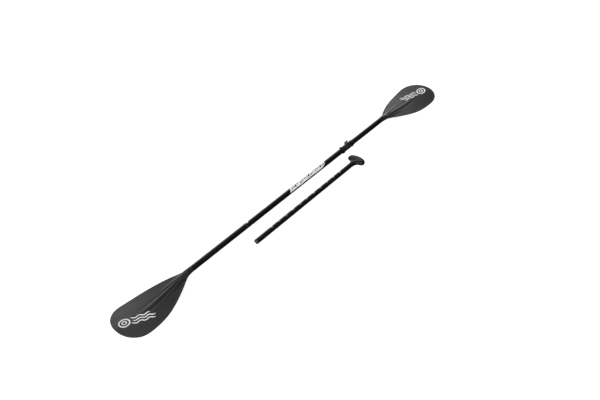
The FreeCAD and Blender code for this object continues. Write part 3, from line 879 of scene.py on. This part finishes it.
def collar_shells():
    """Whole ring up to the slit, then a ring open at +Y from the slit on: flange, grooved barrel,
    ring and cone over a bore. Two ears stand on the slit's sides."""
    bore, lip = 14.6, 13.4
    near = rounded(
        [(362, bore), (362, 20), (368, 20), (368, 16.4), (371, 16.4), (371, 17), (380, 17), (380, bore)],
        [0.3, 0.9, 0.9, 0.5, 0.3, 0.4, 0, 0],
    )
    grooves = [
        corner
        for x in (383.0, 388.5, 394.0)
        for corner in ((x, 17), (x + 0.6, 15.9), (x + 2.4, 15.9), (x + 3.0, 17))
    ]
    far_corners = [(380, bore), (380, 17), *grooves, (430, 17), (430, 18), (440, 18), (452, 15),
                   (452, lip), (440, lip), (440, bore)]
    far = rounded(far_corners, [0, 0] + [0.3] * len(grooves) + [0.4, 0.8, 0.8, 0.6, 0.2, 0, 0], 4)
    slit = math.degrees(math.asin(1.5 / 17))
    ear = rounded(
        [(LEVER_LOW, 13.2), (LEVER_HIGH, 13.2), (LEVER_HIGH, 24), (LEVER_LOW, 24)],
        [0.5, 0.5, 4.5, 4.5], 8,
    )
    return [
        turned(near, first=slit),
        turned(far, first=slit, sweep=360 - 2 * slit),
        slab(ear, 1.5, 8, 0.9, "xyz"),
        slab(ear, -8, -1.5, 0.9, "xyz"),
    ]


def lever_shells():
    """Arm of rounded rectangles carried round the collar from the pivot side to the finger end,
    thicker at the finger end and ribbed across it, plus a forked eye round the pivot pin."""

    def arm(first, last, low, high, rows):
        turn = np.radians(np.linspace(first, last, rows))
        degrees = np.degrees(turn)
        thick = 2.7 + 1.2 * ease(degrees, 150, 168) + 1.6 * (1 - ease(degrees, 34, 60))
        ribs = 0.28 * ease(degrees, 118, 126) * (0.5 - 0.5 * np.cos((degrees - 118) * math.pi / 4))
        outside = 20.35 + ribs * (1 - ease(degrees, 160, 164))
        narrow = 1.6 * ease(degrees, 140, 168)
        middle = outside - thick / 2
        path = np.stack(
            [np.zeros(rows), middle * np.cos(turn), middle * np.sin(turn)], -1
        )
        base = rounded([(-1, -1), (1, -1), (1, 1), (-1, 1)], 0.45, 5)
        half = (high - low) / 2
        section = np.stack(
            [
                (low + high) / 2 + np.sign(base[:, 0])[None] * (
                    (half - narrow)[:, None] - 1.2 * (1 - np.abs(base[:, 0]))[None]
                ),
                base[:, 1][None] * thick[:, None] / 2,
            ],
            -1,
        )
        radial = np.stack([np.zeros(rows), np.cos(turn), np.sin(turn)], -1)
        points = path[:, None] + section[..., :1] * (1, 0, 0) + section[..., 1:] * radial[:, None]
        count = section.shape[1]
        end = (rows - 1) * count
        faces = grid_faces(rows, count, True).tolist()
        faces += [list(range(count))[::-1], list(range(end, end + count))]
        return points.reshape(-1, 3), faces

    inside, outside = 3.56, 5.5
    knuckle = [
        rounded([(a, inside), (a, outside), (b, outside), (b, inside)], [0.2, 0.8, 0.8, 0.2])
        for a, b in ((LEVER_LOW, FORK_LOW), (FORK_HIGH, LEVER_HIGH))
    ]
    bead_low, bead_high = LEVER_LOW + 1.8, LEVER_HIGH - 1.8
    bead = rounded([(bead_low, 0), (bead_low, 2.2), (bead_high, 2.2), (bead_high, 0)], [0, 0.9, 0.9, 0])
    edge = math.radians(168)
    return [
        arm(47.5, 168, LEVER_LOW, LEVER_HIGH, 120),
        arm(33, 47.6, LEVER_LOW, FORK_LOW, 12),
        arm(33, 47.6, FORK_HIGH, LEVER_HIGH, 12),
        *(turned(ring, (0, PIVOT_OUT, PIVOT_UP), columns=64) for ring in knuckle),
        turned(bead, (0, 19.4 * math.cos(edge), 19.4 * math.sin(edge)), columns=40),
    ]


def hex_bolt():
    """Socket-head bolt: rows of a round head, then of a six-sided socket whose radius is the flat's
    distance over the cosine of the turn from the flat's middle."""
    columns = 72
    turn = np.radians(np.arange(columns) * 360 / columns)
    flat = 1.5 / np.cos((turn + math.pi / 6) % (math.pi / 3) - math.pi / 6)
    outside = rounded([(-13, 3.2), (-13, 4), (-9, 4), (-9, 2), (17, 2), (17, 0)],
                      [0, 0.6, 0.3, 0.2, 0.4, 0], 4)
    levels = np.concatenate([[-11.2, -11.0, -12.9, -13.0], outside[:, 0]])
    radii = np.concatenate(
        [
            np.zeros((1, columns)), flat[None], flat[None], flat[None] + 0.15,
            np.repeat(outside[:, 1:], columns, 1),
        ]
    )
    return turned((levels, radii), (CLAMP_MIDDLE, PIVOT_OUT, 0), "z", columns=columns)


add_piece("clamp_collar_moulding", collar_shells(), "middle_section", CLAMP,
          ["clamp_collar"])
add_piece("clamp_lever_moulding", lever_shells(), "clamp_lever", CLAMP,
          ["clamp_lever"])
add_piece("clamp_socket_bolt", [hex_bolt()], "middle_section", STEEL, ["clamp_bolt"])
pin_low, pin_high = LEVER_LOW - 1.5, LEVER_HIGH + 1.5
pivot_pin = rounded([(pin_low, 0), (pin_low, 3.5), (pin_high, 3.5), (pin_high, 0)], [0, 1, 1, 0], 6)
add_piece("lever_cross_pin", [turned(pivot_pin, (0, PIVOT_OUT, PIVOT_UP), columns=48)],
          "middle_section", STEEL, ["lever_pivot_pin"])
index_profile = rounded(
    [(11.8, 0), (11.8, 1.8), (13.3, 2.5), (20.4, 2.5), (20.4, 3.6), (21.2, 3.2), (21.4, 0)],
    [0, 0.3, 0.4, 0, 0.2, 0.5, 0], 4,
)
add_piece("lever_index_pin", [turned(index_profile, (CLAMP_MIDDLE, 0, 0), "z", columns=48)],
          "clamp_lever", STEEL, ["index_pin"])


# ---------------------------------------------------------------- handle section
GRIP_OUTLINE = [
    (312, 13),
    (322, 14),
    (331, 17.2),
    (337, 22.5),
    (341, 32.5),
    (344.5, 43),
    (350, 49.8),
    (359, 52),
    (369, 49.5),
    (378.5, 39),
    (385, 21),
    (387.5, 0),
]
GRIP_ROUND = 13.0


def grip_shell():
    """Palm grip: the outline swollen to 13 mm each way from its middle plane, where the height is
    that of a circle of 13 mm radius at the same distance inside the edge; the palm side is
    slightly hollowed. The plug inside the tube closes it."""
    knots = GRIP_OUTLINE + [(x, -half) for x, half in GRIP_OUTLINE[-2::-1]]
    rows = 120
    edge = smooth_curve(knots, 2 * (4 * rows - 3) - 1)[: 4 * rows - 3]
    edge[-1] = (GRIP_OUTLINE[-1][0], 0)
    side = edge[::4]
    across = np.sin(np.linspace(-math.pi / 2, math.pi / 2, 97))
    x = np.repeat(side[:, :1], len(across), 1)
    y = side[:, 1:] * across
    inside = np.minimum(edge_distance(x, y, edge), GRIP_ROUND)
    half = GRIP_ROUND * np.sqrt(1 - (1 - inside / GRIP_ROUND) ** 2)
    hollow = 1.6 * np.exp(-(((x - 342) / 13) ** 2) - (y / 17) ** 2)
    half[:, [0, -1]] = 0
    half[-1] = 0
    half[0] = GRIP_ROUND * np.sqrt(1 - across**2)
    upper = np.stack([x, y, half - hollow * (half / GRIP_ROUND)], -1)
    lower = np.stack([x, y, -half], -1)[:, -2:0:-1]
    body = np.concatenate([upper, lower], 1)
    ring = body[0] / GRIP_ROUND
    plug = [(262.0, 0.0), (262.0, 10.5), (263.2, 11.7), (312.0, 11.7), (312.0, 12.6)]
    start = np.stack([ring * (0, radius, radius) + (place, 0, 0) for place, radius in plug])
    body = np.concatenate([start, body])
    points = body.reshape(-1, 3) + HANDLE_AXIS
    return points, grid_faces(body.shape[0], body.shape[1], True)


cap_profile = rounded(
    [(-358, 0), (-358, 11.7), (-380, 11.7), (-380, 13), (-384.5, 13), (-384.5, 9.6),
     (-382.2, 8.2), (-381.6, 0)],
    [0, 1.5, 0, 0.2, 2.2, 1.2, 1.2, 0], 7,
)
add_piece("handle_end_cap", [turned(cap_profile, HANDLE_AXIS)], "handle_section",
          CAP, ["handle_end_plug"])
add_piece("handle_palm_grip", [grip_shell()], "handle_section", GRIP,
          ["handle_grip"], crease=50)


# ---------------------------------------------------------------- kept nodes
KEPT = {
    "clamp_washer": STEEL,
    "near_spigot_stopper": RUBBER,
    "far_spigot_stopper": RUBBER,
    "near_float_plug": FOAM,
    "far_float_plug": FOAM,
}
for node_name, finish in KEPT.items():
    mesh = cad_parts[node_name].data
    mesh.materials.clear()
    mesh.materials.append(finish)


# ---------------------------------------------------------------- floor, light and camera
def add_floor():
    """Pale floor: a square whose height is that of the lowest point of the paddle."""
    line = np.linspace(-12, 12, 9)
    x, y = np.meshgrid(line, line, indexing="ij")
    points = np.stack([x, y, np.full_like(x, FLOOR_HEIGHT * MM)], -1).reshape(-1, 3)
    mesh = bpy.data.meshes.new("floor")
    mesh.from_pydata(points.tolist(), [], grid_faces(9, 9).tolist())
    floor = bpy.data.objects.new("floor", mesh)
    bpy.context.scene.collection.objects.link(floor)
    finish = new_finish("pale_floor", Roughness=0.9, Specular_IOR_Level=0.1, Emission_Strength=0.85)
    finish.node_tree.nodes["Principled BSDF"].inputs["Emission Color"].default_value = (1, 1, 1, 1)
    coloured(finish, noise(finish, 1.5, detail=2), [(0.3, grey(0.58)), (0.7, grey(0.62))])
    mesh.materials.append(finish)
    floor.visible_glossy = False


def add_light(name, kind, energy, direction, distance=4.0, **settings):
    """A lamp out along a direction from the middle of the paddle, pointing back at it."""
    light = bpy.data.lights.new(name, kind)
    light.energy = energy
    for key, value in settings.items():
        setattr(light, key, value)
    lamp = bpy.data.objects.new(name, light)
    bpy.context.scene.collection.objects.link(lamp)
    out = Vector(direction).normalized()
    lamp.location = out * distance
    lamp.rotation_euler = out.to_track_quat("Z", "Y").to_euler()


def add_world(low, high, towards, narrow, seen):
    """Studio surround lit from one side: the strength eases from low to high with the cosine of
    the angle to the bright side, from narrow up to 1. The camera itself sees a pale backdrop."""
    world = bpy.data.worlds.new("studio")
    bpy.context.scene.world = world
    world.use_nodes = True
    tree = world.node_tree
    back = tree.nodes["Background"]
    direction = tree.nodes.new("ShaderNodeTexCoord")
    cosine = tree.nodes.new("ShaderNodeVectorMath")
    cosine.operation = "DOT_PRODUCT"
    cosine.inputs[1].default_value = Vector(towards).normalized()
    spread = tree.nodes.new("ShaderNodeMapRange")
    spread.interpolation_type = "SMOOTHSTEP"
    for socket, value in zip(("From Min", "From Max", "To Min", "To Max"), (narrow, 1, low, high)):
        spread.inputs[socket].default_value = value
    backdrop = tree.nodes.new("ShaderNodeBackground")
    backdrop.inputs["Strength"].default_value = seen
    path = tree.nodes.new("ShaderNodeLightPath")
    mix = tree.nodes.new("ShaderNodeMixShader")
    tree.links.new(direction.outputs["Generated"], cosine.inputs[0])
    tree.links.new(cosine.outputs["Value"], spread.inputs["Value"])
    tree.links.new(spread.outputs["Result"], back.inputs["Strength"])
    back.inputs["Color"].default_value = (1.0, 1.0, 1.0, 1.0)
    backdrop.inputs["Color"].default_value = (1.0, 1.0, 1.0, 1.0)
    tree.links.new(path.outputs["Is Camera Ray"], mix.inputs["Fac"])
    tree.links.new(back.outputs[0], mix.inputs[1])
    tree.links.new(backdrop.outputs[0], mix.inputs[2])
    tree.links.new(mix.outputs[0], tree.nodes["World Output"].inputs["Surface"])


def add_camera():
    """Camera on a sphere round the target, rolled about its own line of sight."""
    azimuth, elevation, roll, distance = -0.6837, 0.7089, -0.1912, 3.1426
    target = Vector((-0.0618, -0.0910, 0.0022))
    back = Vector(
        (
            math.sin(azimuth) * math.cos(elevation),
            -math.cos(azimuth) * math.cos(elevation),
            math.sin(elevation),
        )
    )
    level = (-back).cross(Vector((0, 0, 1))).normalized()
    upright = level.cross(-back)
    right = math.cos(roll) * level + math.sin(roll) * upright
    up = -math.sin(roll) * level + math.cos(roll) * upright
    data = bpy.data.cameras.new("camera")
    data.sensor_width = 36.0
    data.lens = 37.97
    camera = bpy.data.objects.new("camera", data)
    bpy.context.scene.collection.objects.link(camera)
    turn = Matrix((right, up, back)).transposed().to_4x4()
    camera.matrix_world = Matrix.Translation(target + back * distance) @ turn
    bpy.context.scene.camera = camera


add_floor()
add_world(0.03, 2.9, (0.45, 0.87, 0.22), 0.7, 1.0)
add_light("side_sun", "SUN", 3.3, (-0.8, -0.35, 0.6), angle=math.radians(60))
add_camera()
bpy.context.scene.view_settings.view_transform = "Standard"
